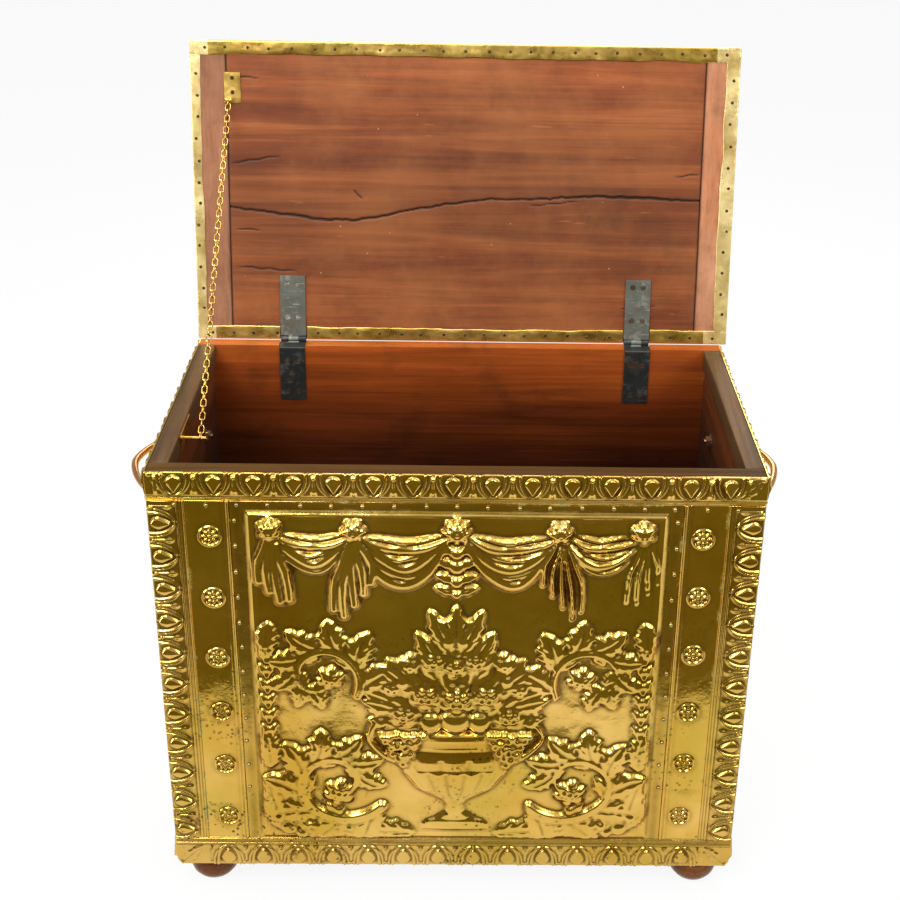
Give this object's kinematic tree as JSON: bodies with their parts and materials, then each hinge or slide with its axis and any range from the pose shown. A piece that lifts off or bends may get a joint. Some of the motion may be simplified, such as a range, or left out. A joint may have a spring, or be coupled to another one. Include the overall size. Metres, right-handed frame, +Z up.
{
  "type": "kindling box",
  "caption": "Brass-clad wooden kindling box on bun feet: pressed brass front, hinged lid held open by a stay chain, bow handles at the ends.",
  "frame": {"origin": "on the floor, under the middle of the chest's width and of the whole depth with the lid open", "axes": "+Z up, +Y towards the back, where the hinges are, +X to the right seen from the front"},
  "size_m": [0.5758, 0.3408, 0.7057],
  "materials": {
    "wall_wood": "worn stain",
    "rail_wood": "worn stain",
    "lid_wood": "worn stain",
    "cleat_wood": "worn stain",
    "foot_wood": "varnished",
    "brass": "aged",
    "chain_brass": "aged",
    "strap_steel": "black, worn",
    "rusty_steel": "rusted",
    "zinc_screws": "zinc plated",
    "dark_nails": "dark",
    "copper": "aged copper colour"
  },
  "bodies": {
    "box": {"front_board": "wall_wood", "back_board": "wall_wood", "front_rim_rail": "rail_wood", "back_rim_rail": "rail_wood", "left_board": "wall_wood", "left_rim_rail": "rail_wood", "right_board": "wall_wood", "right_rim_rail": "rail_wood", "floor_board": "wall_wood", "foot_front_left": "foot_wood", "foot_front_right": "foot_wood", "foot_back_left": "foot_wood", "foot_back_right": "foot_wood", "front_top_band": "brass", "front_bottom_band": "brass", "front_left_band": "brass", "front_right_band": "brass", "front_left_rosette_strip": "brass", "front_right_rosette_strip": "brass", "front_centre_panel": "brass", "front_tacks": "brass", "left_side_brass": "brass", "right_side_brass": "brass", "back_edge_tacks": "dark_nails", "left_handle": "copper", "right_handle": "copper", "handle_roses": "brass", "handle_washers": "rusty_steel", "handle_nuts": "rusty_steel", "left_hinge_lower_leaf": "strap_steel", "left_hinge_lower_screws": "rusty_steel", "left_hinge_pin": "rusty_steel", "right_hinge_lower_leaf": "strap_steel", "right_hinge_lower_screws": "rusty_steel", "right_hinge_pin": "rusty_steel", "chain_hook": "chain_brass", "chain_hook_screws": "rusty_steel"},
    "lid": {"lid_board": "lid_wood", "lid_left_cleat": "cleat_wood", "lid_right_cleat": "cleat_wood", "lid_brass": "brass", "lid_nails": "dark_nails", "left_hinge_upper_leaf": "strap_steel", "left_hinge_upper_screws": "zinc_screws", "right_hinge_upper_leaf": "strap_steel", "right_hinge_upper_screws": "rusty_steel", "chain_bracket": "chain_brass", "chain_bracket_screws": "rusty_steel"},
    "chain_lower": {"chain_lower_half": "chain_brass"},
    "chain_upper": {"chain_upper_half": "chain_brass"}
  },
  "joints": [
    {"name": "lid_hinge", "type": "hinge", "parent": "box", "child": "lid", "pos_m": [0, 0.10886, 0.4314], "axis": [1, 0, 0], "range_deg": [0, 100.4]},
    {"name": "chain_hook_swing", "type": "hinge", "parent": "box", "child": "chain_lower", "pos_m": [-0.22, -0.07924, 0.4166], "axis": [1, 0, 0], "range_deg": [-142.18, 0]},
    {"name": "chain_bracket_swing", "type": "hinge", "parent": "lid", "child": "chain_upper", "pos_m": [-0.216, 0.14438, 0.65374], "axis": [1, 0, 0], "range_deg": [-52.58, 0]}
  ],
  "couplings": [
    {"joint": "chain_hook_swing", "follows": "lid_hinge", "ratio": -1.4112},
    {"joint": "chain_bracket_swing", "follows": "lid_hinge", "ratio": -0.51873}
  ]
}
